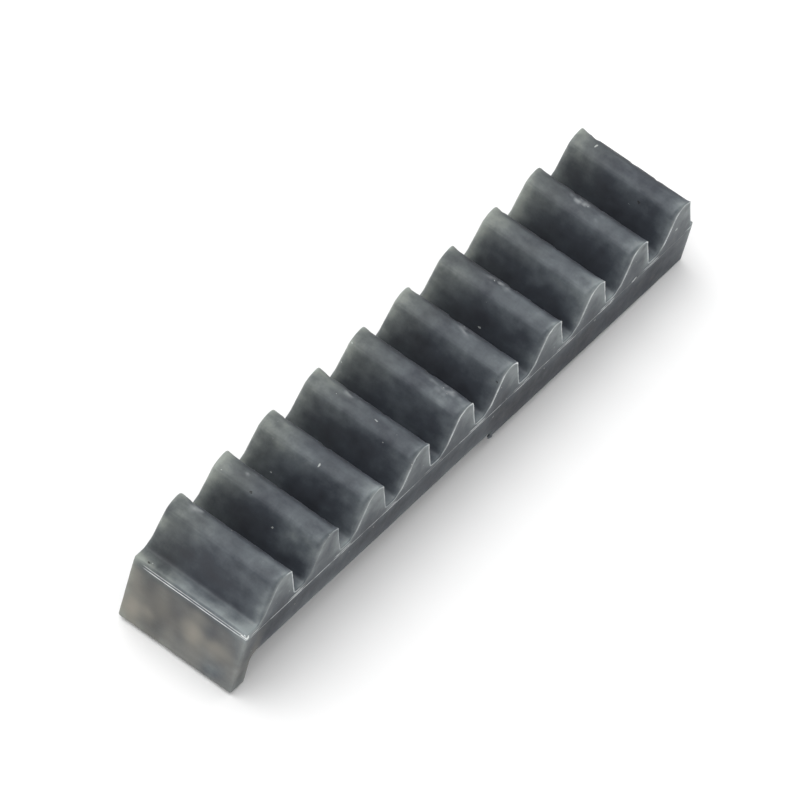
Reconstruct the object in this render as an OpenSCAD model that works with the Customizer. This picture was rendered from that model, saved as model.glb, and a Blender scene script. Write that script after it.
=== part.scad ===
// Moulded gear rack: a strip of straight cross teeth on a stepped base, with a hook lip at one end.
// X runs along the rack, away from the lip. Y runs across the teeth. The teeth point up, along +Z.
// The origin is the centre of the seat, which is the thicker half of the underside.

/* [Teeth] */
// Gear module: the pitch from one tooth to the next, divided by pi
gear_module = 2; // [1.6:0.1:2.6]
// Number of teeth
tooth_count = 10; // [7:1:16]
// Slope of each flank away from the vertical, in degrees
pressure_angle = 20; // [17:0.5:22]
// Height of a tooth above its pitch line, in modules
addendum_modules = 0.8; // [0.75:0.05:0.95]
// Depth of a gap below the pitch line, in modules
dedendum_modules = 1.25; // [1.1:0.05:1.25]
// Angle of the edge where the crowned top of a tooth meets each flank, in degrees
nose_edge_angle = 24; // [16:1:30]
// Radius of the fillet where each flank meets the root
root_fillet_r = 0.45; // [0.2:0.05:0.45]

/* [Base] */
// Width of the rack across its teeth
rack_w = 11.6; // [8:0.1:20]
// Thickness of the base under the roots, on the seat
base_h = 4.8; // [4:0.1:8]
// Length of the seat, measured back from the end face
seat_l = 28; // [20:0.5:30]
// How far the underside between the seat and the lip is set back above the seat
relief_h = 0.85; // [0.4:0.05:1.5]
// Flat left between the foot of the last tooth and the end face
end_land_l = 0.4; // [0.4:0.1:3]
// Flat shelf between the front face and the foot of the first tooth
shelf_l = 1.5; // [0.6:0.1:6]

/* [Hook lip] */
// Thickness of the lip along the rack
lip_t = 1.8; // [1.2:0.1:3]
// How far the lip reaches below the seat
lip_drop = 2.9; // [1.5:0.1:6]
// Radius of the two rounded edges along the foot of the lip
lip_edge_r = 0.5; // [0.2:0.05:0.55]
// Radius of the fillet between the back of the lip and the underside
lip_fillet_r = 0.8; // [0.3:0.1:1]

/* [Hidden] */
$fn = 64;

pitch = PI * gear_module;
flank_tan = tan(pressure_angle);

// Heights along Z
root_z = base_h;
pitch_z = root_z + dedendum_modules * gear_module;
tip_z = pitch_z + addendum_modules * gear_module;
lip_foot_z = -lip_drop;

// Half the thickness of a tooth at height z, out to its straight flanks
half_tooth_at_pitch = pitch / 4;
function half_tooth(z) = half_tooth_at_pitch - (z - pitch_z) * flank_tan;

// Places along X
end_x = seat_l / 2;
step_x = -seat_l / 2;
last_tooth_x = end_x - end_land_l - half_tooth(root_z);
first_tooth_x = last_tooth_x - (tooth_count - 1) * pitch;
front_x = first_tooth_x - half_tooth(root_z) - shelf_l;
lip_back_x = front_x + lip_t;

// The crown of a tooth is one arc through the tip height, which meets both flanks at nose_edge_angle.
nose_r = (half_tooth_at_pitch * cos(pressure_angle) - (tip_z - pitch_z) * sin(pressure_angle))
    / (cos(nose_edge_angle) - sin(pressure_angle));
nose_centre_z = tip_z - nose_r;
// The arc lies outside the flanks at this height, between the two places where it crosses them.
nose_wide_z = nose_centre_z + nose_r * sin(pressure_angle);

// Turns an outline drawn in X and Z into a solid that runs across the rack, centred on Y = 0.
module across(width) {
    rotate([90, 0, 0])
        linear_extrude(height = width, center = true)
            children();
}

// The outline of one tooth about X = 0: straight flanks that run up to the arc of the crown.
module tooth_outline() {
    above_tip_z = tip_z + gear_module / 4;
    intersection() {
        polygon([
            [-half_tooth(root_z), root_z],
            [half_tooth(root_z), root_z],
            [half_tooth(above_tip_z), above_tip_z],
            [-half_tooth(above_tip_z), above_tip_z]
        ]);
        union() {
            translate([-pitch / 2, root_z])
                square([pitch, nose_wide_z - root_z]);
            translate([0, nose_centre_z])
                circle(r = nose_r);
        }
    }
}

// The fillet at the foot of the flank that faces +X, on a tooth about X = 0.
module root_fillet_outline() {
    foot_x = half_tooth(root_z);
    reach = root_fillet_r * tan((90 - pressure_angle) / 2);
    difference() {
        polygon([
            [foot_x, root_z],
            [foot_x + reach, root_z],
            [foot_x - reach * sin(pressure_angle), root_z + reach * cos(pressure_angle)]
        ]);
        translate([foot_x + reach, root_z + root_fillet_r])
            circle(r = root_fillet_r);
    }
}

module filleted_tooth_outline() {
    tooth_outline();
    root_fillet_outline();
    mirror([1, 0])
        root_fillet_outline();
}

// The base from the lip to the end face, with the set-back underside in front of the seat.
module base_outline() {
    translate([front_x, relief_h])
        square([end_x - front_x, root_z - relief_h]);
    translate([step_x, 0])
        square([seat_l, root_z]);
}

// The lip that hangs from the front of the base, rounded along its foot.
module lip_outline() {
    translate([front_x, lip_foot_z + lip_edge_r])
        square([lip_t, root_z - lip_foot_z - lip_edge_r]);
    translate([front_x + lip_edge_r, lip_foot_z])
        square([lip_t - 2 * lip_edge_r, root_z - lip_foot_z]);
    for (edge_x = [front_x + lip_edge_r, lip_back_x - lip_edge_r])
        translate([edge_x, lip_foot_z + lip_edge_r])
            circle(r = lip_edge_r);
}

// The fillet that joins the back of the lip to the underside.
module lip_fillet_outline() {
    translate([lip_back_x, relief_h - lip_fillet_r])
        difference() {
            square(lip_fillet_r);
            translate([lip_fillet_r, 0])
                circle(r = lip_fillet_r);
        }
}

// The whole rack is one moulding, so it is one solid.
module rack() {
    color([0.33, 0.35, 0.38])
        across(rack_w) {
            for (tooth = [0:tooth_count - 1])
                translate([first_tooth_x + tooth * pitch, 0])
                    filleted_tooth_outline();
            base_outline();
            lip_outline();
            lip_fillet_outline();
        }
}

rack();
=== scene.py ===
import math

import bmesh
import bpy
import numpy as np
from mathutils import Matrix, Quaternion, Vector, noise
from mathutils.bvhtree import BVHTree
from mathutils.geometry import delaunay_2d_cdt


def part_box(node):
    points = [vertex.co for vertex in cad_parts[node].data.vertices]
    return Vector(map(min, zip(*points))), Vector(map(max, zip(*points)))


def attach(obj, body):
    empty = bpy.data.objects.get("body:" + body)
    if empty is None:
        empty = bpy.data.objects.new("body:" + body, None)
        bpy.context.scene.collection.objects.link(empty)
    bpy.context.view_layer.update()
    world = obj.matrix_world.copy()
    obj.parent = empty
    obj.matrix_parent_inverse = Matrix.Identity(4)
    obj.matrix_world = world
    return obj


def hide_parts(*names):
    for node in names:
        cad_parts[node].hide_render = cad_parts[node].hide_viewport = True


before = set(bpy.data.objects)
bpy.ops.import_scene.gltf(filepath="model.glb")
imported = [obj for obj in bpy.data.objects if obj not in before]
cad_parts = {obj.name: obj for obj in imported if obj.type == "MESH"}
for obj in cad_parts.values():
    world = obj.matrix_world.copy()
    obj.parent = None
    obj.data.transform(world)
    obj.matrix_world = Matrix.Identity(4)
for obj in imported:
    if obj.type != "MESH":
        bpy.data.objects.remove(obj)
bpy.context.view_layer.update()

# Lengths in this script are in millimetres until a mesh, light or camera is made.
MM = 0.001
NODE_LOW, NODE_HIGH = (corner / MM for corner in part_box("rack"))

# The rack's own measures, as in the CAD source
MODULE = 2.0
TEETH = 10
PRESSURE_ANGLE = math.radians(20)
DEDENDUM = 2.5
NOSE_EDGE_ANGLE = math.radians(24)
ROOT_FILLET_R = 0.45
BASE_H = 4.8
SEAT_L = 28.0
RELIEF_H = 0.85
END_LAND_L = 0.4
LIP_T = 1.8
LIP_EDGE_R = 0.5
LIP_FILLET_R = 0.8

# Roundings that the CAD leaves out: the two edges of a crest, and the length of arc they replace; the
# foot of the last flank; any other sharp edge; the lower corners of the lip
LIP_SIDE_NOSE_EDGE_R = 0.8
FAR_SIDE_NOSE_EDGE_R = 0.25
NOSE_EDGE_ROOM = 0.25
END_FILLET_R = 0.15
SHARP_R = 0.2
FOOT_CORNER_R = 0.5

PITCH = math.pi * MODULE
PITCH_Z = BASE_H + DEDENDUM
TIP_Z = NODE_HIGH.z
FOOT_Z = NODE_LOW.z
PARTING_Z = 4.15

# The skin lies this far inside the box, which leaves room for the mould flash.
FLASH_ROOM = 0.04
END_ROOM = 0.03
FRONT_X = NODE_LOW.x + FLASH_ROOM
END_X = NODE_HIGH.x - END_ROOM
STEP_X = -SEAT_L / 2
LIP_BACK_X = NODE_LOW.x + LIP_T
SIDE_Y = NODE_HIGH.y - FLASH_ROOM
TOOTH_DRAFT = math.tan(math.radians(1.8))

# How far every vertex stays inside the box
BOX_MARGIN = 0.002

# How finely the mesh follows the shape
OUTLINE_STEP = 0.17
ARC_STEP = 0.1
WIDTH_STEP = 0.3
CAP_STEP = 0.3
CAP_MARGIN = 0.09
LINE_STEP = 0.12
EDGE_STEPS = 5

# Radius of the edge round an end face: most of it, and the flanks that face the lip
EDGE_R = 0.11
NEAR_FLANK_EDGE_R = 0.45

# Half the width of the flash line round an end face
LINE_HALF_WIDTH = 0.07


def half_tooth(z):
    """Half the thickness of a tooth at height z, out to its straight flanks."""
    return PITCH / 4 - (z - PITCH_Z) * math.tan(PRESSURE_ANGLE)


LAST_TOOTH_X = SEAT_L / 2 - END_LAND_L - half_tooth(BASE_H)
FIRST_TOOTH_X = LAST_TOOTH_X - (TEETH - 1) * PITCH
NOSE_R = (PITCH / 4 * math.cos(PRESSURE_ANGLE) - (TIP_Z - PITCH_Z) * math.sin(PRESSURE_ANGLE)) / (
    math.cos(NOSE_EDGE_ANGLE) - math.sin(PRESSURE_ANGLE)
)
NOSE_CENTRE_Z = TIP_Z - NOSE_R
FAR_EDGE_X = NOSE_R * math.cos(PRESSURE_ANGLE + NOSE_EDGE_ANGLE)
FAR_EDGE_Z = NOSE_CENTRE_Z + NOSE_R * math.sin(PRESSURE_ANGLE + NOSE_EDGE_ANGLE)

# Flash lines: where the lines lie along Z on the front face (a fine fin, then a painted highlight along the
# shelf's front edge, raised like a fin) and on the sides, how far a fin and a rim stand out, the
# half-thickness of a fin, and the rows of the mesh that draw the fins
FRONT_FIN_AND_HIGHLIGHT = (4.22, 4.5)
SIDE_FIN = PARTING_Z
SECOND_FIN = PARTING_Z + 0.24
FIN_HEIGHT = 0.07
RIM_HEIGHT = 0.035
FIN_T = 0.035
FRONT_FIN_T = 0.04
FIN_OFFSETS = (-0.14, -0.07, -0.035, 0.0, 0.035, 0.07, 0.14, 0.205, 0.24, 0.275, 0.34)
FRONT_ROWS = np.arange(FRONT_FIN_AND_HIGHLIGHT[0] - 0.14, FRONT_FIN_AND_HIGHLIGHT[1] + 0.1, FIN_T)
CLEAR_OF_ROWS = (-0.26, 0.46)


# ---------------------------------------------------------------- the moulding's shape


def rounded(corners):
    """Corners are (x, z, radius) round a closed outline. Each is replaced by an arc of its radius."""
    points = []
    for i, (x, z, radius) in enumerate(corners):
        here = np.array([x, z])
        if radius == 0:
            points.append(here)
            continue
        before = np.array(corners[i - 1][:2]) - here
        after = np.array(corners[(i + 1) % len(corners)][:2]) - here
        before /= np.linalg.norm(before)
        after /= np.linalg.norm(after)
        half = math.acos(float(before @ after)) / 2
        middle = before + after
        centre = here + middle / np.linalg.norm(middle) * radius / math.sin(half)
        start = here + before * radius / math.tan(half) - centre
        first = math.atan2(start[1], start[0])
        turn = (math.pi - 2 * half) * np.sign(before[0] * after[1] - before[1] * after[0])
        steps = max(3, math.ceil(abs(turn) * radius / ARC_STEP))
        for step in range(steps + 1):
            angle = first - turn * step / steps
            points.append(centre + radius * np.array([math.cos(angle), math.sin(angle)]))
    return points


def nose_points(centre_x):
    """The crowned top of a tooth, with a soft edge towards the lip and a crisper one on the other side."""
    reach = math.pi / 2 - PRESSURE_ANGLE - NOSE_EDGE_ANGLE
    arc = reach - NOSE_EDGE_ROOM / NOSE_R
    steps = math.ceil(2 * arc * NOSE_R / ARC_STEP)
    turns = [(arc * (2 * step / steps - 1), 0) for step in range(steps + 1)]
    turns = [(-reach, LIP_SIDE_NOSE_EDGE_R), *turns, (reach, FAR_SIDE_NOSE_EDGE_R)]
    return [
        (centre_x + NOSE_R * math.sin(turn), NOSE_CENTRE_Z + NOSE_R * math.cos(turn), radius)
        for turn, radius in turns
    ]


def outline():
    """The rack's outline in X and Z, clockwise, as closely spaced points."""
    corners = [(FRONT_X, BASE_H, SHARP_R)]
    foot = half_tooth(BASE_H)
    for tooth in range(TEETH):
        centre_x = FIRST_TOOTH_X + tooth * PITCH
        corners.append((centre_x - foot, BASE_H, ROOT_FILLET_R))
        corners.extend(nose_points(centre_x))
        last = tooth == TEETH - 1
        corners.append((centre_x + foot, BASE_H, END_FILLET_R if last else ROOT_FILLET_R))
    corners.append((END_X, BASE_H, SHARP_R))
    corners.extend((END_X, SIDE_FIN - offset, 0) for offset in FIN_OFFSETS)
    corners.append((END_X, 0, SHARP_R))
    corners.append((STEP_X, 0, SHARP_R))
    corners.append((STEP_X, RELIEF_H, SHARP_R))
    corners.append((LIP_BACK_X, RELIEF_H, LIP_FILLET_R))
    corners.append((LIP_BACK_X, FOOT_Z, LIP_EDGE_R))
    corners.append((FRONT_X, FOOT_Z, LIP_EDGE_R))
    corners.extend((FRONT_X, float(z), 0) for z in FRONT_ROWS)
    points = rounded(corners)
    dense = []
    for i, here in enumerate(points):
        there = points[(i + 1) % len(points)]
        steps = max(1, math.ceil(float(np.linalg.norm(there - here)) / OUTLINE_STEP))
        dense.extend(here + (there - here) * step / steps for step in range(steps))
    return np.array(dense)


def inward(points):
    """The unit normal at each point of a clockwise outline, towards its inside."""
    along = np.roll(points, -1, axis=0) - np.roll(points, 1, axis=0)
    for _ in range(2):
        along = along + (np.roll(along, -1, axis=0) + np.roll(along, 1, axis=0)) / 2
    along /= np.linalg.norm(along, axis=1)[:, None]
    return np.stack([along[:, 1], -along[:, 0]], axis=1)


def inside(points, ring, margin):
    """Which points lie inside a ring, and at least margin away from it."""
    x, z = points[:, 0], points[:, 1]
    within = np.zeros(len(points), bool)
    near = np.zeros(len(points), bool)
    for a, b in zip(ring, np.roll(ring, -1, axis=0)):
        near |= (x - a[0]) ** 2 + (z - a[1]) ** 2 < margin**2
        if a[1] != b[1]:
            crosses = (a[1] > z) != (b[1] > z)
            within ^= crosses & (x < (b[0] - a[0]) * (z - a[1]) / (b[1] - a[1]) + a[0])
    return within & ~near


def cap_points(ring):
    """Points spread over an end face: a grid of triangles, and fine rows along the parting line."""
    low, high = ring.min(axis=0), ring.max(axis=0)
    spread = []
    for row, z in enumerate(np.arange(low[1], high[1], CAP_STEP * math.sqrt(0.75))):
        if CLEAR_OF_ROWS[0] < z - SIDE_FIN < CLEAR_OF_ROWS[1]:
            continue
        shift = CAP_STEP / 2 * (row % 2)
        spread.extend((x + shift, z) for x in np.arange(low[0], high[0], CAP_STEP))
    for offset in FIN_OFFSETS:
        spread.extend((x, SIDE_FIN + offset) for x in np.arange(low[0], high[0], LINE_STEP))
    spread = np.array(spread)
    return spread[inside(spread, ring, CAP_MARGIN)]


def cap_triangles(ring, spread):
    """Triangles over an end face. Indices run through the ring's points, and then the spread ones."""
    points = [Vector(p) for p in np.vstack([ring, spread])]
    made = delaunay_2d_cdt(points, [], [list(range(len(ring)))], 1, 1e-6)
    origin = [source[0] for source in made[3]]
    return [[origin[i] for i in face] for face in made[2]]


def smooth(low, high, values):
    """0 below low, 1 above high, and a smooth step between."""
    t = np.clip((values - low) / (high - low), 0, 1)
    return t * t * (3 - 2 * t)


def half_width(z):
    """How far each side stands from the middle plane at height z: the teeth have draft, and the lower
    corners of the lip are round."""
    above = np.maximum(z - PARTING_Z, 0) * TOOTH_DRAFT
    depth = np.clip(FOOT_Z + FOOT_CORNER_R - z, 0, FOOT_CORNER_R)
    corner = FOOT_CORNER_R - np.sqrt(FOOT_CORNER_R**2 - depth**2)
    return SIDE_Y - above - corner


def tooth_of(x):
    """The nearest tooth's number, and how far x lies from its middle."""
    tooth = np.clip(np.round((x - FIRST_TOOTH_X) / PITCH), 0, TEETH - 1).astype(int)
    return tooth, x - FIRST_TOOTH_X - tooth * PITCH


def edge_radius(points):
    """Radius of the edge round an end face, at each point of the outline."""
    offset = tooth_of(points[:, 0])[1]
    raised = smooth(BASE_H + 0.1, BASE_H + 0.9, points[:, 1])
    faces_lip = 1 - smooth(-1.3, 0.6, offset)
    return EDGE_R + (NEAR_FLANK_EDGE_R - EDGE_R) * raised * faces_lip


def edge_rings(radius):
    """(inset, drop) of each ring of the rounded edge, from the flat end face outwards: how far it lies
    inside the outline, and how far below the face."""
    rings = [(radius + LINE_HALF_WIDTH, radius * 0), (radius, radius * 0)]
    start = np.arccos(np.clip(LINE_HALF_WIDTH / radius, 0, 1))
    for step in range(EDGE_STEPS + 1):
        angle = start * (1 - step / EDGE_STEPS)
        rings.append((radius * (1 - np.cos(angle)), radius * (1 - np.sin(angle))))
    return rings


def skin_rings(points):
    """The outline drawn across the width, from one end face to the other, with rounded edges. Each ring
    is a list of points in X, Y and Z, and the first and last are the borders of the flat end faces."""
    normals = inward(points)
    edge = []
    for inset, drop in edge_rings(edge_radius(points)):
        at = points + normals * inset[:, None]
        edge.append((at, half_width(at[:, 1]) - drop))
    straight, reach = edge[-1]
    steps = math.ceil(2 * SIDE_Y / WIDTH_STEP)
    spans = [(at, -y) for at, y in edge]
    spans += [(straight, reach * (2 * step / steps - 1)) for step in range(1, steps)]
    spans += edge[::-1]
    return [np.stack([at[:, 0], y, at[:, 1]], axis=1) for at, y in spans]


def skin_faces(ring_count, count):
    """Four-sided faces that join each ring to the next. A ring has count points."""
    faces = []
    for first in range(0, (ring_count - 1) * count, count):
        for i in range(count):
            j = (i + 1) % count
            faces.append((first + i, first + j, first + count + j, first + count + i))
    return faces


def end_faces(border, ring_count):
    """Points spread over each flat end face, and the triangles between them and the border."""
    count = len(border)
    spread = cap_points(border)
    triangles = cap_triangles(border, spread)
    total = ring_count * count
    points = []
    faces = []
    for side, first in ((-1, 0), (1, (ring_count - 1) * count)):
        points.append(np.stack([spread[:, 0], side * half_width(spread[:, 1]), spread[:, 1]], axis=1))
        number = np.concatenate([first + np.arange(count), total + np.arange(len(spread))])
        total += len(spread)
        for triangle in triangles:
            order = triangle if side < 0 else triangle[::-1]
            faces.append(tuple(int(number[i]) for i in order))
    return points, faces


def moulding_mesh():
    """Vertices and faces of the closed skin, and how far each vertex lies on the line round an end face."""
    rings = skin_rings(outline())
    count = len(rings[0])
    ends, end_triangles = end_faces(rings[0][:, [0, 2]], len(rings))
    v = np.vstack(rings + ends)
    on_line = np.zeros(len(v))
    for ring, weight in ((1, 1.0), (2, 0.6)):
        for first in (ring * count, (len(rings) - 1 - ring) * count):
            on_line[first:first + count] = weight
    return v, skin_faces(len(rings), count) + end_triangles, on_line


# ---------------------------------------------------------------- flash lines, marks and waviness


def cloud(points, size, seed):
    """Smooth noise from -1 to 1 over points, with features of about that size."""
    offset = Vector((seed * 17.3, seed * 5.1, seed * 29.7))
    return np.array([noise.noise(Vector(p) / size + offset) for p in points])


# How clear the flash line is on each tooth's near end face, along the flank that faces the lip, and
# along the other
EDGE_LINES = (
    (0.25, 1.0), (0.1, 0.35), (0.55, 0.5), (0.8, 0.8), (1.0, 0.9),
    (1.0, 1.0), (0.9, 0.8), (0.9, 1.0), (1.0, 1.0), (0.85, 0.5),
)


def tooth_edge_lines(v, on_line):
    """Strength of the fine bright line round the end faces of the teeth."""
    tooth, offset = tooth_of(v[:, 0])
    table = np.array(EDGE_LINES)
    strength = np.where(offset < 0.2, table[tooth, 0], table[tooth, 1])
    z = v[:, 2]
    strength = strength * smooth(BASE_H - 0.25, BASE_H - 0.1, z)
    strength *= 0.45 + 0.55 * smooth(BASE_H + 0.1, BASE_H + 0.9, z)
    strength *= 1 - 0.45 * smooth(TIP_Z - 0.45, TIP_Z - 0.1, z) * (offset < 0.9)
    broken = 0.75 + 0.7 * cloud(v, 0.9, 3) + 0.3 * cloud(v, 0.35, 4)
    return on_line * strength * np.clip(broken, 0.15, 1.2)


def side_line(v):
    """Strength of the broken flash line along the parting line."""
    near = np.exp(-(((v[:, 2] - SIDE_FIN) / FIN_T) ** 2))
    long_gaps = 0.35 + 0.65 * smooth(-0.45, 0.1, cloud(v, 3.0, 5))
    short_gaps = 0.55 + 0.45 * smooth(-0.3, 0.05, cloud(v, 0.7, 6))
    fades_at_end = 1 - 0.75 * smooth(7.0, 10.0, v[:, 0])
    off_front = smooth(FRONT_X + 0.05, FRONT_X + 0.2, v[:, 0])
    offset = tooth_of(v[:, 0])[1]
    by_gap = 0.75 + 0.4 * smooth(1.5, 2.6, np.abs(offset))
    first = near * long_gaps * short_gaps * fades_at_end * by_gap
    return np.maximum(first, second_line(v) * short_gaps) * off_front


def second_line(v):
    """Strength of the second flash line, which runs under the gaps between the teeth."""
    near = np.exp(-(((v[:, 2] - SECOND_FIN) / FIN_T) ** 2))
    offset = tooth_of(v[:, 0])[1]
    under_gap = smooth(1.5, 2.2, np.where(offset > 0, offset, -offset - 0.5))
    return 0.9 * near * under_gap * smooth(-0.6, -0.1, cloud(v, 2.2, 15))


def front_lines(v):
    """Strength of the two pale lines along the top of the front face: a flash fin, and above it a painted
    highlight along the shelf's front edge.
    """
    total = np.zeros(len(v))
    on_front = 1 - smooth(FRONT_X + 0.05, FRONT_X + 0.15, v[:, 0])
    starts = 1 - smooth(SIDE_Y - 1.4, SIDE_Y - 0.9, v[:, 1])
    for height, gain, seed in zip(FRONT_FIN_AND_HIGHLIGHT, (1.0, 0.7), (8, 9)):
        near = np.exp(-(((v[:, 2] - height) / FRONT_FIN_T) ** 2))
        total += near * gain * (0.55 + 0.45 * smooth(-0.3, 0.2, cloud(v, 0.8, seed)))
    return total * on_front * starts


def flash_and_highlight_strength(v, on_line):
    """How pale each vertex is, from 0 in the body to 1 on mould flash and on the painted highlight along
    the front.
    """
    skin = np.maximum(side_line(v), front_lines(v))
    lines = np.maximum(skin, tooth_edge_lines(v, on_line))
    pale = 0.22 * scuffs(v) * smooth(-0.1, 0.5, cloud(v, 0.5, 14))
    return np.clip(np.maximum(lines, pale), 0, 1)


# Small dents on the crests: where, the radius and the depth
MARKS = (
    ((-26.1, 1.9, 8.8), 0.28, 0.10),
    ((-13.6, -0.9, 8.8), 0.3, 0.10),
    ((-20.0, -3.2, 8.8), 0.45, 0.12),
    ((-7.3, 0.4, 8.8), 0.35, 0.10),
    ((4.9, -0.6, 8.8), 0.4, 0.12),
    ((5.0, 1.0, 8.7), 0.3, 0.08),
    ((-38.9, 3.4, 8.8), 0.35, 0.12),
    ((-45.0, 3.6, 8.8), 0.3, 0.10),
)


def scuffs(v):
    """How scuffed the plastic is, round each dent."""
    total = np.zeros(len(v))
    for centre, radius, _ in MARKS:
        away = np.linalg.norm((v - np.array(centre)) / (1.0, 2.0, 1.0), axis=1)
        total += np.exp(-((away / (1.3 * radius)) ** 2))
    return total


def by_far_edge(v, shift=0.0, reach=0.4):
    """1 on the crisp edge of each crest, or a shift from it along the rack, and 0 beyond reach."""
    along = (tooth_of(v[:, 0])[1] - FAR_EDGE_X - shift) / reach
    up = (v[:, 2] - FAR_EDGE_Z + shift / 3) / reach
    return np.exp(-(along**2) - up**2)


def bumps(v):
    """How far each vertex moves out along its normal: a slight waviness, chipped crests and dents."""
    out = 0.022 * cloud(v, 4.0, 1) + 0.010 * cloud(v, 1.3, 2)
    out -= 0.10 * by_far_edge(v) * smooth(0.0, 0.6, cloud(v, 0.8, 12))
    for centre, radius, depth in MARKS:
        distance = np.linalg.norm(v - np.array(centre), axis=1)
        out -= depth * np.exp(-((distance / radius) ** 2))
    return out


def crest_peaks(v):
    """Extra height at both ends of each crest, where the mould left a small peak."""
    tooth = tooth_of(v[:, 0])[0]
    far_end = 0.22 * smooth(4.8, 5.75, v[:, 1]) * by_far_edge(v, -0.4, 0.55)
    near_end = 0.17 * smooth(5.4, 5.65, -v[:, 1]) * by_far_edge(v)
    return (far_end + near_end) * (0.75 + 0.35 * np.sin(2.3 * tooth))


# ---------------------------------------------------------------- what the colour depends on

# How thinness is measured: the number of rays from each vertex, how long they are, and how far light
# gets into the plastic
RAYS = 14
RAY_LENGTH = 12.0
LIGHT_REACH = 2.2


def ray_fan():
    """Directions spread over most of a half-sphere: (depth, across, other) for each."""
    golden = math.pi * (3 - math.sqrt(5))
    fan = []
    for i in range(RAYS):
        depth = 1 - 0.85 * (i + 0.5) / RAYS
        side = math.sqrt(1 - depth * depth)
        fan.append((depth, side * math.cos(golden * i), side * math.sin(golden * i)))
    return fan


def thinness(mesh, v, normals):
    """0 deep in the body to 1 at a thin edge, from the distances to the far skin along a fan of rays. The
    colour turns it into a painted glow: paler where thin plastic would let more light through."""
    tree = BVHTree.FromPolygons([Vector(p) for p in v], [tuple(p.vertices) for p in mesh.polygons])
    fan = ray_fan()
    found = np.zeros(len(v))
    for number, (place, normal) in enumerate(zip(v, normals)):
        down = Vector(-normal)
        across = down.orthogonal().normalized()
        other = down.cross(across)
        start = Vector(place) + down * 0.01
        total = 0.0
        for depth, a, b in fan:
            hit = tree.ray_cast(start, down * depth + across * a + other * b, RAY_LENGTH)
            if hit[3] is not None:
                total += math.exp(-hit[3] / LIGHT_REACH)
        found[number] = total / RAYS
    return found


# Smears of paler (or darker) plastic in the teeth: where, half-sizes and strength
SMEARS = (
    ((FIRST_TOOTH_X + PITCH - 1.0, -4.2, 7.4), (1.6, 1.8, 1.6), 0.15),
    ((FIRST_TOOTH_X + PITCH - 1.2, -2.4, 6.4), (1.2, 0.9, 1.2), 0.10),
    ((FIRST_TOOTH_X + 2 * PITCH - 1.2, -2.8, 7.2), (1.4, 1.6, 1.4), 0.07),
    ((FIRST_TOOTH_X + 2 * PITCH - 0.8, 3.6, 8.0), (1.4, 1.8, 1.2), 0.11),
    ((FIRST_TOOTH_X + 3 * PITCH - 0.8, 4.2, 7.8), (1.4, 1.5, 1.6), 0.09),
    ((FIRST_TOOTH_X + 5 * PITCH - 0.8, 4.6, 7.6), (1.4, 1.3, 1.6), 0.07),
    ((LAST_TOOTH_X - 0.8, 4.0, 7.9), (1.4, 1.6, 1.2), 0.07),
    ((FIRST_TOOTH_X - 0.9, 2.0, 6.8), (1.4, 1.4, 1.2), -0.04),
)


def smears(v):
    """What the smears add to the thinness."""
    total = np.zeros(len(v))
    uneven = 1 + 0.7 * cloud(v, 1.2, 33)
    for centre, size, gain in SMEARS:
        away = np.linalg.norm((v - np.array(centre)) / np.array(size), axis=1)
        total += gain * np.exp(-(away**2)) * uneven
    return total


def shading_shift(v, normals):
    """What is added to the thinness: painted light and shade, where the moulding looks paler or darker
    under the light than its thickness says.
    """
    x, y, z = v.T
    offset = tooth_of(x)[1]
    raised = smooth(BASE_H - 0.2, BASE_H + 0.6, z)
    end_face = smooth(0.7, 0.95, -normals[:, 1]) * smooth(PARTING_Z, PARTING_Z + 0.3, z)
    side = smooth(0.5, 0.9, np.abs(normals[:, 1])) * smooth(LIP_BACK_X, LIP_BACK_X + 3.5, x)
    crest = smooth(7.7, 8.3, z)
    flank = raised * (1 - crest)
    shelf = smooth(0.7, 0.9, normals[:, 2]) * (1 - smooth(FRONT_X + 1.3, FRONT_X + 2.2, x))
    far_end = smooth(4.4, 5.4, y)
    short_of_far_end = 1 - smooth(3.5, 5.5, y)
    # Painted light where a gain is above zero and painted shade where it is below: the end faces, the
    # shelf, the first flank, a band on the sides just under the parting line and the flanks and crests at
    # the far end are made paler; the crests short of the far end, most of all their far part, the crests at
    # the near end and the foot of each side are made darker.
    places = (
        (0.13, end_face),
        (0.04, end_face * smooth(6.0, 8.0, z)),
        (0.06, flank * far_end),
        (-0.15, crest * smooth(0.2, 0.9, offset) * short_of_far_end),
        (0.07, crest * smooth(0.0, 0.6, offset) * far_end),
        (-0.05, crest * smooth(3.5, 5.0, -y) * (1 - end_face)),
        (-0.03, crest * short_of_far_end),
        (0.09, side * smooth(3.0, 3.8, z) * (1 - end_face)),
        (-0.07, side * (1 - smooth(1.2, 2.4, z))),
        (-0.07, side * (1 - smooth(0.2, 1.0, z))),
        (0.05, flank * (1 - smooth(FIRST_TOOTH_X - 1.0, FIRST_TOOTH_X, x))),
        (0.11, shelf * (1 - raised)),
    )
    return sum(gain * place for gain, place in places) + smears(v)


# Warm patches in the lip: where, how wide, and how strong (below zero is cooler)
WARM = (
    ((-49.4, 4.9, -0.9), 1.3, 0.65),
    ((-49.4, -1.0, 1.0), 1.5, 0.5),
    ((-49.4, -3.2, 0.6), 1.1, 0.3),
    ((-49.4, 3.2, 1.9), 1.3, -0.1),
    ((-49.4, -3.9, -1.9), 1.4, -0.2),
)


def warmth(v):
    """Where the plastic of the lip is warmer and paler: all of it a little, and some cloudy patches."""
    in_lip = 1 - smooth(LIP_BACK_X, LIP_BACK_X + 1.5, v[:, 0])
    cloudy = cloud(v * (1.0, 1.0, 0.6), 1.5, 22)
    total = (0.35 + 0.3 * cloudy) * in_lip * (1 - smooth(3.2, 4.4, v[:, 2]))
    wobble = 1 + 0.6 * cloud(v, 1.4, 21)
    for centre, radius, gain in WARM:
        distance = np.linalg.norm(v - np.array(centre), axis=1)
        total += gain * np.exp(-((distance * wobble / radius) ** 2))
    return np.clip(total, 0, 1)


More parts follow.
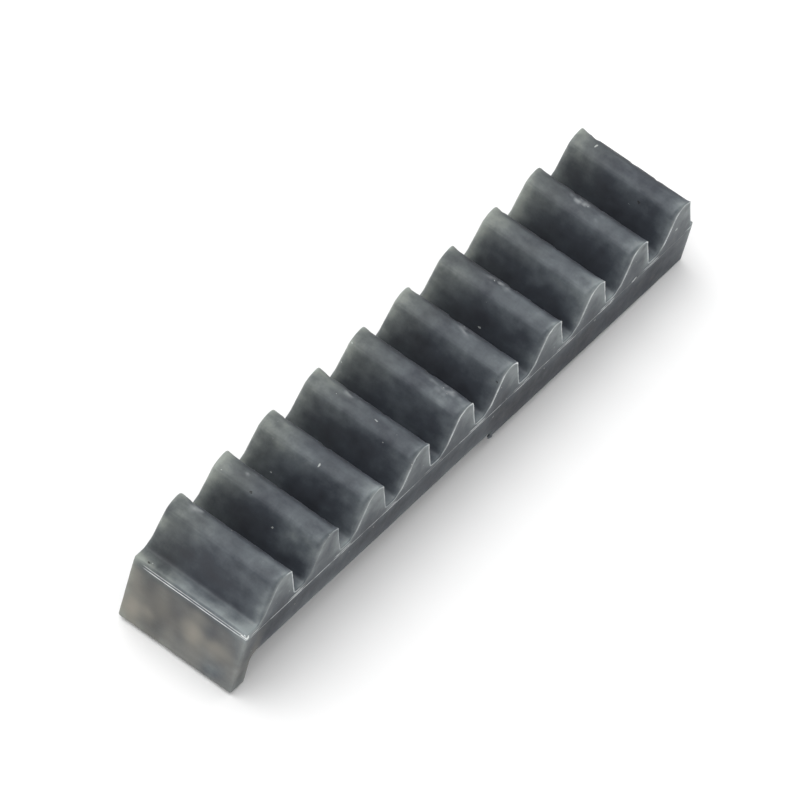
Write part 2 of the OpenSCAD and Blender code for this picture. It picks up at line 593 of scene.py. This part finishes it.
# ---------------------------------------------------------------- the pieces


def within_box(points):
    """The points, moved no further than needed to lie inside the rack's box."""
    return np.clip(points, np.array(NODE_LOW) + BOX_MARGIN, np.array(NODE_HIGH) - BOX_MARGIN)


def add_attribute(mesh, name, values):
    layer = mesh.attributes.new(name, "FLOAT", "POINT")
    layer.data.foreach_set("value", np.asarray(values, np.float32))


def vertex_normals(mesh):
    found = np.empty(len(mesh.vertices) * 3, np.float32)
    mesh.vertex_normals.foreach_get("vector", found)
    return found.reshape(-1, 3).astype(float)


def build_moulding():
    v, faces, on_line = moulding_mesh()
    mesh = bpy.data.meshes.new("rack_moulding")
    mesh.from_pydata([tuple(p) for p in v], [], faces)
    flash = flash_and_highlight_strength(v, on_line)
    fin = flash * np.where(on_line > 0, RIM_HEIGHT, FIN_HEIGHT)
    normals = vertex_normals(mesh)
    shaped = v + normals * (bumps(v) + fin)[:, None]
    shaped[:, 2] += crest_peaks(v)
    shaped = within_box(shaped)
    mesh.vertices.foreach_set("co", shaped.astype(np.float32).ravel())
    mesh.update()
    normals = vertex_normals(mesh)
    # thin: the thinness, which the colour turns into a painted glow of light through thin plastic, plus
    # painted light and shade and the smears
    add_attribute(mesh, "thin", thinness(mesh, shaped, normals) + shading_shift(shaped, normals))
    # flash: pale mould flash, and along the top of the front face a painted highlight
    add_attribute(mesh, "flash", flash)
    add_attribute(mesh, "warm", warmth(v))
    add_attribute(mesh, "worn", np.clip(scuffs(v), 0, 1))
    add_attribute(mesh, "olive", smooth(-1.0, 5.5, v[:, 1] + 1.5 * cloud(v, 2.5, 31)))
    mesh.vertices.foreach_set("co", (shaped * MM).astype(np.float32).ravel())
    mesh.update()
    mesh.shade_smooth()
    piece = bpy.data.objects.new("rack_moulding", mesh)
    bpy.context.scene.collection.objects.link(piece)
    return piece


# Each flake's name, centre, half-sizes, turn about Y, seed and paleness
FLAKES = (
    ("burr_corner", (FRONT_X + 0.10, -SIDE_Y + 0.14, 4.52), (0.14, 0.20, 0.20), 0.3, 3.0, 1.0),
    ("burr_front", (FRONT_X + 0.04, -SIDE_Y + 0.42, 4.42), (0.07, 0.24, 0.13), 0.2, 7.0, 0.9),
    ("flash_chip", (5.3, -SIDE_Y, 4.34), (0.30, 0.05, 0.06), -0.3, 11.0, 0.75),
    ("step_nub", (STEP_X + 0.05, -SIDE_Y + 0.12, 0.05), (0.26, 0.16, 0.20), 0.0, 5.0, 0.05),
)


def build_flake(name, centre, size, turn, seed, flash):
    """A small irregular flake of mould flash: a ball pulled out to size, roughened and turned about Y."""
    made = bmesh.new()
    bmesh.ops.create_icosphere(made, subdivisions=4, radius=1.0)
    for vertex in made.verts:
        rough = 1 + 0.55 * noise.noise(vertex.co * 1.6 + Vector((seed, 0, 0)))
        rough += 0.35 * noise.noise(vertex.co * 4.5 + Vector((0, seed, 0)))
        point = Vector([a * b * rough for a, b in zip(vertex.co, size)])
        point.rotate(Quaternion((0, 1, 0), turn))
        vertex.co = Vector(within_box(np.array(point) + np.array(centre))) * MM
    mesh = bpy.data.meshes.new(name)
    made.to_mesh(mesh)
    made.free()
    mesh.shade_smooth()
    for attribute, value in (("thin", 0.3), ("flash", flash), ("warm", 0), ("worn", 0), ("olive", 0)):
        add_attribute(mesh, attribute, np.full(len(mesh.vertices), value))
    piece = bpy.data.objects.new(name, mesh)
    bpy.context.scene.collection.objects.link(piece)
    return piece


# ---------------------------------------------------------------- materials


class Nodes:
    """Short ways to add nodes to one material."""

    def __init__(self, material):
        material.use_nodes = True
        self.tree = material.node_tree
        self.tree.nodes.clear()

    def add(self, kind, inputs=(), **settings):
        node = self.tree.nodes.new(kind)
        for name, value in settings.items():
            setattr(node, name, value)
        for name, value in dict(inputs).items():
            if isinstance(value, bpy.types.NodeSocket):
                self.tree.links.new(value, node.inputs[name])
            else:
                node.inputs[name].default_value = value
        return node

    def math(self, operation, a, b):
        return self.add("ShaderNodeMath", {0: a, 1: b}, operation=operation).outputs[0]

    def noise(self, vector, scale, detail, rough=0.5):
        inputs = {"Vector": vector, "Scale": scale, "Detail": detail, "Roughness": rough}
        return self.add("ShaderNodeTexNoise", inputs).outputs["Fac"]

    def ramp(self, factor, stops):
        node = self.add("ShaderNodeValToRGB", {"Fac": factor})
        elements = node.color_ramp.elements
        while len(elements) < len(stops):
            elements.new(0.5)
        for element, (position, colour) in zip(elements, stops):
            element.position = position
            element.color = (*colour, 1)
        return node.outputs["Color"]

    def mix(self, factor, a, b, blend="MIX"):
        node = self.add("ShaderNodeMix", data_type="RGBA", blend_type=blend)
        for name, value in (("Factor", factor), ("A", a), ("B", b)):
            kinds = ("VALUE",) if name == "Factor" else ("RGBA",)
            socket = next(s for s in node.inputs if s.name == name and s.type in kinds)
            if isinstance(value, bpy.types.NodeSocket):
                self.tree.links.new(value, socket)
            else:
                socket.default_value = value if name == "Factor" else (*value, 1)
        return next(s for s in node.outputs if s.type == "RGBA")

    def attribute(self, name):
        return self.add("ShaderNodeAttribute", attribute_name=name).outputs["Fac"]


# Colours of the plastic from deep to thin, whose paler end is the painted glow through thin plastic and
# carries the painted light and shade; and of its tints, and of the flash and the painted highlight along
# the front
DEPTH_COLOURS = (
    (0.0, (0.026, 0.029, 0.036)),
    (0.12, (0.037, 0.043, 0.053)),
    (0.3, (0.083, 0.095, 0.106)),
    (0.6, (0.208, 0.232, 0.236)),
)
OLIVE_TINT = (1.07, 1.04, 0.93)
WARM_COLOUR = (0.235, 0.222, 0.190)
FLASH_AND_HIGHLIGHT_COLOUR = (0.84, 0.87, 0.87)
PALE_SPECK = (0.5, 0.52, 0.5)
DARK_SPECK = (0.02, 0.018, 0.018)

# Clouding: whether it is drawn out across the rack, its scale, detail and strength
WISP_STRETCH = (1.0, 0.35, 0.8)
CLOUDS = (
    (False, 0.24, 3.0, 0.5),
    (False, 0.9, 3.0, 0.24),
    (True, 1.1, 4.0, 0.2),
    (False, 5.0, 2.0, 0.06),
)

# Specks: stretch, scale, size, rarity, strength and colour
SPECKS = (
    ((1.3, 0.6, 1.0), 0.95, 0.075, 0.97, 0.5, PALE_SPECK),
    ((0.7, 1.5, 0.8), 0.34, 0.045, 0.92, 0.7, PALE_SPECK),
    ((1.0, 0.5, 1.0), 2.4, 0.16, 1.45, 0.6, PALE_SPECK),
    ((1.0, 0.8, 1.0), 0.4, 0.05, 0.95, 0.8, DARK_SPECK),
)


def specks(n, at, stretch, scale, reach, rarity):
    """Small irregular drawn-out spots, in the share of cells above rarity."""
    shaken = n.add("ShaderNodeTexNoise", {"Vector": at, "Scale": 5.0, "Detail": 2.0}).outputs["Color"]
    offset = n.add("ShaderNodeVectorMath", {0: shaken, 1: (0.3, 0.3, 0.3)}, operation="MULTIPLY")
    drawn = n.add("ShaderNodeMapping", {"Vector": at, "Scale": stretch}).outputs["Vector"]
    place = n.add("ShaderNodeVectorMath", {0: drawn, 1: offset.outputs["Vector"]}, operation="ADD")
    cells = n.add("ShaderNodeTexVoronoi", {"Vector": place.outputs["Vector"], "Scale": scale})
    spot = n.math("LESS_THAN", cells.outputs["Distance"], reach)
    chosen = n.add("ShaderNodeSeparateColor", {"Color": cells.outputs["Color"]}).outputs["Red"]
    return n.math("MULTIPLY", spot, n.math("GREATER_THAN", chosen, rarity))


def clouded_depth(n, at, thin):
    """The thinness with clouds, wisps drawn out across the rack and grain added to it."""
    drawn_out = n.add("ShaderNodeMapping", {"Vector": at, "Scale": WISP_STRETCH}).outputs["Vector"]
    stronger_where_thin = n.math("ADD", n.math("MULTIPLY", thin, 2.2), 0.6)
    depth = thin
    for stretched, scale, detail, gain in CLOUDS:
        value = n.noise(drawn_out if stretched else at, scale, detail)
        cloudy = n.math("MULTIPLY", n.math("SUBTRACT", value, 0.5), gain)
        depth = n.math("ADD", depth, n.math("MULTIPLY", cloudy, stronger_where_thin))
    return depth


def plastic_colour(n, at):
    """The plastic's colour: body, whose paleness is a painted glow with painted light and shade, clouds,
    warm and olive patches, specks, and mould flash with a painted highlight along the front.
    """
    thin = n.attribute("thin")
    body = n.ramp(clouded_depth(n, at, thin), DEPTH_COLOURS)
    body = n.mix(n.attribute("olive"), body, OLIVE_TINT, "MULTIPLY")
    body = n.mix(n.attribute("warm"), body, WARM_COLOUR)
    common = n.math("ADD", thin, n.attribute("worn"))
    for stretch, scale, reach, rarity, strength, colour in SPECKS:
        spot = specks(n, at, stretch, scale, reach, n.math("SUBTRACT", rarity, common))
        body = n.mix(n.math("MULTIPLY", spot, strength), body, colour)
    return n.mix(n.attribute("flash"), body, FLASH_AND_HIGHLIGHT_COLOUR)


def plastic_bump(n, at):
    """Soft ripples and fine grain, as a normal."""
    grain = n.noise(at, 9.0, 4.0, 0.6)
    ripples = n.noise(at, 1.6, 3.0)
    height = n.math("ADD", n.math("MULTIPLY", grain, 0.25), ripples)
    bump = n.add("ShaderNodeBump", {"Height": height, "Strength": 0.25, "Distance": 0.06 * MM})
    return bump.outputs["Normal"]


def rack_plastic():
    """Waxy, slightly translucent dark plastic."""
    material = bpy.data.materials.new("rack_plastic_moulded")
    n = Nodes(material)
    place = n.add("ShaderNodeTexCoord").outputs["Object"]
    at = n.add("ShaderNodeMapping", {"Vector": place, "Scale": (1 / MM,) * 3}).outputs["Vector"]
    roughness = n.add("ShaderNodeMapRange", {
        "Value": n.noise(at, 0.9, 5.0, 0.6),
        "From Min": 0.3,
        "From Max": 0.7,
        "To Min": 0.46,
        "To Max": 0.64,
    })
    shader = n.add("ShaderNodeBsdfPrincipled", {
        "Base Color": plastic_colour(n, at),
        "Roughness": roughness.outputs["Result"],
        "Normal": plastic_bump(n, at),
        "IOR": 1.49,
        "Specular IOR Level": 0.3,
        "Subsurface Weight": 0.3,
        "Subsurface Radius": (0.9, 1.0, 1.1),
        "Subsurface Scale": 0.8 * MM,
    })
    n.add("ShaderNodeOutputMaterial", {"Surface": shader.outputs["BSDF"]})
    return material


def floor_material():
    material = bpy.data.materials.new("pale_floor")
    n = Nodes(material)
    shader = n.add("ShaderNodeBsdfPrincipled", {
        "Base Color": (0.83, 0.83, 0.83, 1),
        "Roughness": 0.7,
        "Specular IOR Level": 0.2,
    })
    n.add("ShaderNodeOutputMaterial", {"Surface": shader.outputs["BSDF"]})
    return material


# ---------------------------------------------------------------- floor, light and camera

# The floor's half-size, and how far it lies below the rack's lowest edges
FLOOR_SIZE = 3000.0
FLOOR_GAP = 0.04


def build_floor():
    """The rack stands on the lip's foot and the far end of the seat, so the floor slopes in its frame."""
    low_point = Vector((NODE_LOW.x + LIP_T / 2, 0, FOOT_Z))
    high_point = Vector((NODE_HIGH.x, 0, 0))
    slope = (high_point.z - low_point.z) / (high_point.x - low_point.x)
    corners = []
    for x, y in ((-1, -1), (1, -1), (1, 1), (-1, 1)):
        x, y = x * FLOOR_SIZE, y * FLOOR_SIZE
        corners.append(Vector((x, y, low_point.z + (x - low_point.x) * slope - FLOOR_GAP)) * MM)
    mesh = bpy.data.meshes.new("floor")
    mesh.from_pydata(corners, [], [(0, 1, 2, 3)])
    mesh.materials.append(floor_material())
    floor = bpy.data.objects.new("floor", mesh)
    bpy.context.scene.collection.objects.link(floor)


# The sky is brightest in one direction. The key light is a disc: metres away, metres wide and watts.
SKY_TOWARD = (-0.15, 0.45, 0.88)
SKY_LOW = 0.45
SKY_HIGH = 1.75
KEY_TOWARD = (-0.2, 0.4, 0.9)
KEY_DISTANCE = 0.7
KEY_SIZE = 0.7
KEY_POWER = 1.5


def soft_light(name, toward, distance, size, power):
    """A large round light, seen from the rack in the direction toward."""
    data = bpy.data.lights.new(name, "AREA")
    data.shape = "DISK"
    data.size = size
    data.energy = power
    light = bpy.data.objects.new(name, data)
    direction = Vector(toward).normalized()
    light.location = direction * distance
    light.rotation_mode = "QUATERNION"
    light.rotation_quaternion = direction.to_track_quat("Z", "Y")
    bpy.context.scene.collection.objects.link(light)


def build_world():
    """An even studio sky, brighter overhead and a little towards the far side of the rack."""
    world = bpy.data.worlds.new("studio")
    world.use_nodes = True
    tree = world.node_tree
    background = tree.nodes["Background"]
    direction = tree.nodes.new("ShaderNodeTexCoord").outputs["Generated"]
    lobe = tree.nodes.new("ShaderNodeVectorMath")
    lobe.operation = "DOT_PRODUCT"
    lobe.inputs[1].default_value = Vector(SKY_TOWARD).normalized()
    tree.links.new(direction, lobe.inputs[0])
    strength = tree.nodes.new("ShaderNodeMapRange")
    strength.inputs["From Min"].default_value = 0.0
    strength.inputs["From Max"].default_value = 1.0
    strength.inputs["To Min"].default_value = SKY_LOW
    strength.inputs["To Max"].default_value = SKY_HIGH
    tree.links.new(lobe.outputs["Value"], strength.inputs["Value"])
    tree.links.new(strength.outputs["Result"], background.inputs["Strength"])
    background.inputs["Color"].default_value = (1.0, 1.0, 1.0, 1)
    bpy.context.scene.world = world


def build_lights():
    build_world()
    soft_light("key", KEY_TOWARD, KEY_DISTANCE, KEY_SIZE, KEY_POWER)
    bpy.context.scene.view_settings.view_transform = "Standard"


# The camera looks from in front of the lip, to the near side and from above, with a long lens.
CAMERA_AIM = (-20.81, 0.0, 5.44)
CAMERA_AZIMUTH = math.radians(-66.58)
CAMERA_ELEVATION = math.radians(47.638)
CAMERA_ROLL = math.radians(17.03)
CAMERA_DISTANCE = 783.93
CAMERA_LENS = 433.13
CAMERA_SENSOR = 36.0


def build_camera():
    data = bpy.data.cameras.new("camera")
    data.sensor_width = CAMERA_SENSOR
    data.lens = CAMERA_LENS
    data.clip_start = 0.05
    data.clip_end = 20.0
    camera = bpy.data.objects.new("camera", data)
    flat = math.cos(CAMERA_ELEVATION)
    back = Vector((
        math.sin(CAMERA_AZIMUTH) * flat,
        -math.cos(CAMERA_AZIMUTH) * flat,
        math.sin(CAMERA_ELEVATION),
    ))
    camera.location = (Vector(CAMERA_AIM) + back * CAMERA_DISTANCE) * MM
    camera.rotation_mode = "QUATERNION"
    level = (-back).to_track_quat("-Z", "Y")
    camera.rotation_quaternion = level @ Quaternion((0, 0, 1), CAMERA_ROLL)
    bpy.context.scene.collection.objects.link(camera)
    bpy.context.scene.camera = camera


build_camera()
build_lights()
build_floor()

plastic = rack_plastic()
moulding = build_moulding()
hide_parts("rack")
for piece in (moulding, *(build_flake(*flake) for flake in FLAKES)):
    piece.data.materials.append(plastic)
    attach(piece, "root")
